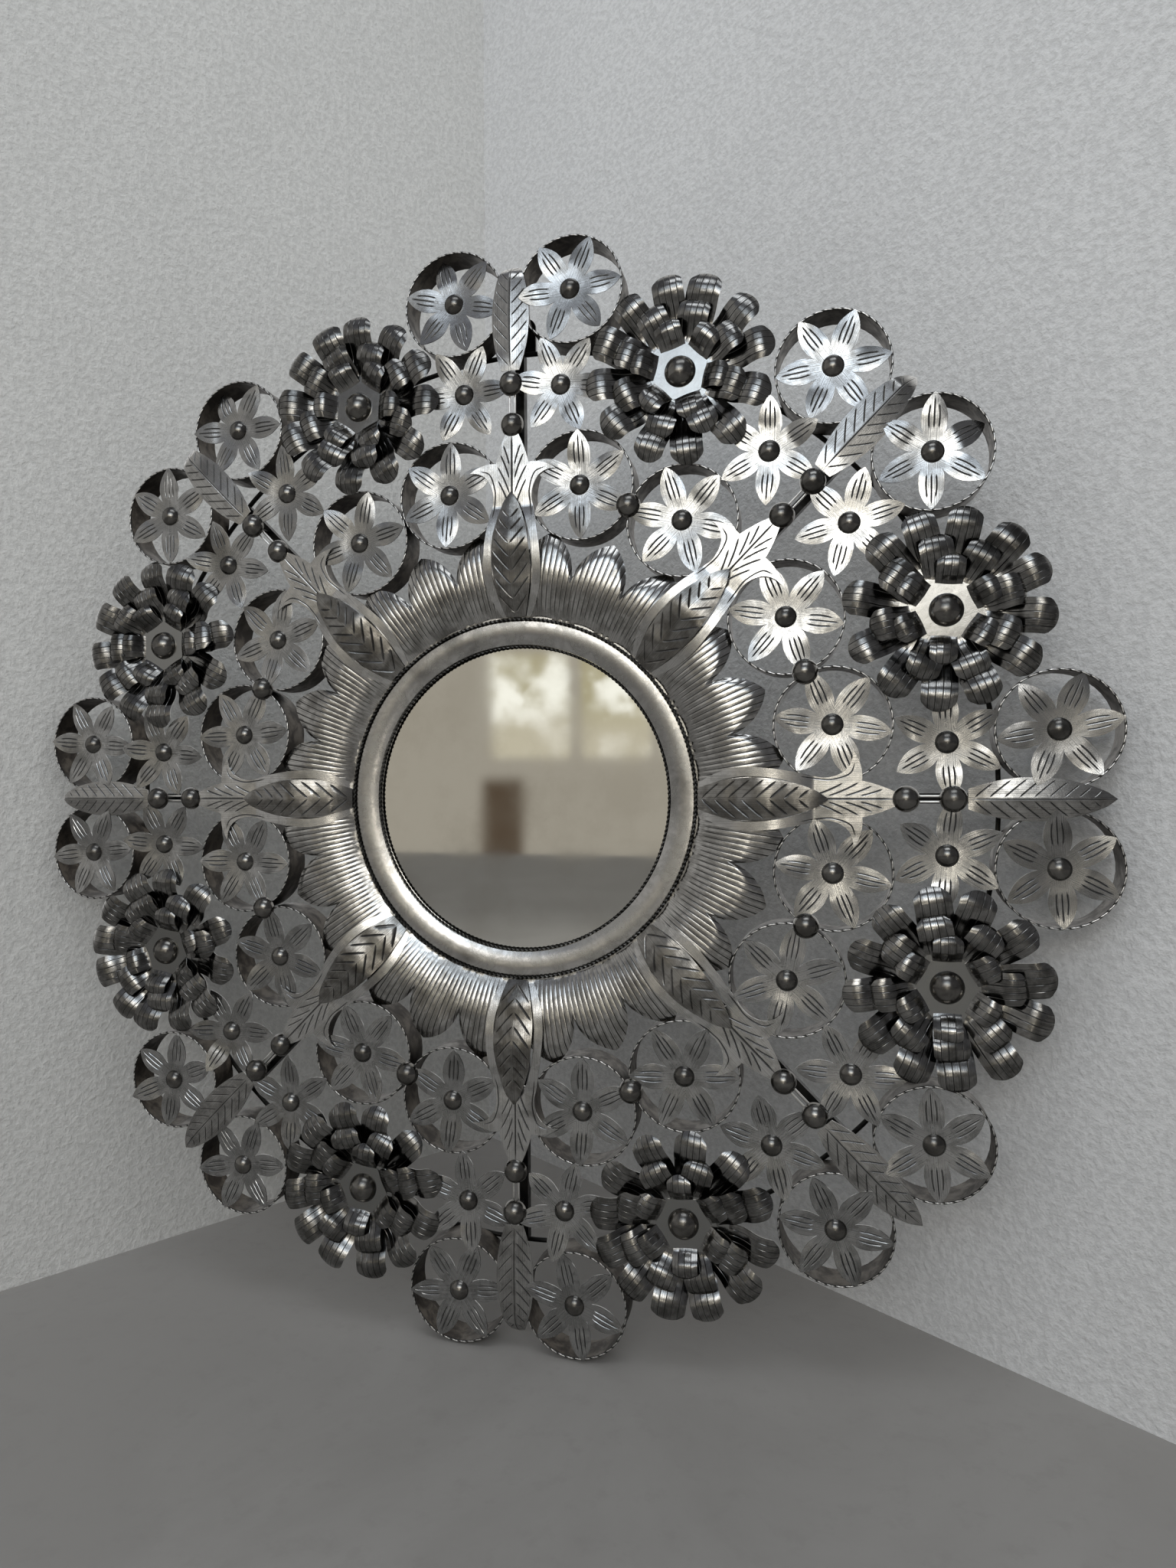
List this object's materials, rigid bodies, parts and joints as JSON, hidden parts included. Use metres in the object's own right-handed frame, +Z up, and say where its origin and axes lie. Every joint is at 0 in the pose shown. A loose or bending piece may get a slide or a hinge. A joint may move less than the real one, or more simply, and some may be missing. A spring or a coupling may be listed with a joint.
{
  "type": "wall mirror",
  "caption": "Round wall mirror in a wide wreath of tin flowers, leaves and palmettes, built on a frame of spokes and a hoop.",
  "frame": {"origin": "the mirror's axis, on the plane of the wall behind it", "axes": "+Z up, -Y out of the wall towards the room, +X to the viewer's right"},
  "size_m": [1.1012, 0.0465, 1.1014],
  "materials": {
    "frame_black": "satin black",
    "pan_steel": "dull dark steel",
    "backing_board": "plain board",
    "mirror_glass": "silvered glass",
    "bright_sheet": "bright, stained tin plate",
    "dark_sheet": "dark, burnished tin plate",
    "dark_strip": "dark brown, matte",
    "worn_wire": "dark with bright worn spots",
    "dark_dome": "dark, polished",
    "bezel_steel": "grey, half polished"
  },
  "bodies": {
    "root": {"backing_board": "backing_board", "bead_posts": "frame_black", "bezel_band": "bezel_steel", "bezel_inner_cord": "worn_wire", "bezel_outer_cord": "worn_wire", "carnation_back_petals": "dark_sheet", "carnation_domes": "dark_dome", "carnation_middle_petals": "dark_sheet", "carnation_stems": "frame_black", "carnation_tabs": "frame_black", "carnation_top_petals": "dark_sheet", "hanger_plate": "frame_black", "inner_leaf_1": "bright_sheet", "inner_leaf_2": "bright_sheet", "inner_leaf_3": "bright_sheet", "inner_leaf_4": "bright_sheet", "inner_leaf_5": "bright_sheet", "inner_leaf_6": "bright_sheet", "inner_leaf_7": "bright_sheet", "inner_leaf_8": "bright_sheet", "inner_ring_ropes": "worn_wire", "inner_rings": "dark_strip", "inner_stars": "bright_sheet", "junction_beads": "dark_dome", "mirror_glass": "mirror_glass", "mirror_pan": "pan_steel", "open_stars": "bright_sheet", "outer_hoop": "frame_black", "outer_leaf_1": "bright_sheet", "outer_leaf_2": "bright_sheet", "outer_leaf_3": "bright_sheet", "outer_leaf_4": "bright_sheet", "outer_leaf_5": "bright_sheet", "outer_leaf_6": "bright_sheet", "outer_leaf_7": "bright_sheet", "outer_leaf_8": "bright_sheet", "outer_ring_ropes": "worn_wire", "outer_rings": "dark_strip", "outer_stars": "bright_sheet", "palmette_1": "bright_sheet", "palmette_2": "bright_sheet", "palmette_3": "bright_sheet", "palmette_4": "bright_sheet", "palmette_5": "bright_sheet", "palmette_6": "bright_sheet", "palmette_7": "bright_sheet", "palmette_8": "bright_sheet", "petal_collar": "bright_sheet", "ring_ties": "frame_black", "spoke_bar_1": "frame_black", "spoke_bar_2": "frame_black", "spoke_bar_3": "frame_black", "spoke_bar_4": "frame_black", "spoke_bar_5": "frame_black", "spoke_bar_6": "frame_black", "spoke_bar_7": "frame_black", "spoke_bar_8": "frame_black", "spoke_beads": "dark_dome", "spoke_links": "worn_wire", "star_domes": "dark_dome"}
  },
  "joints": []
}
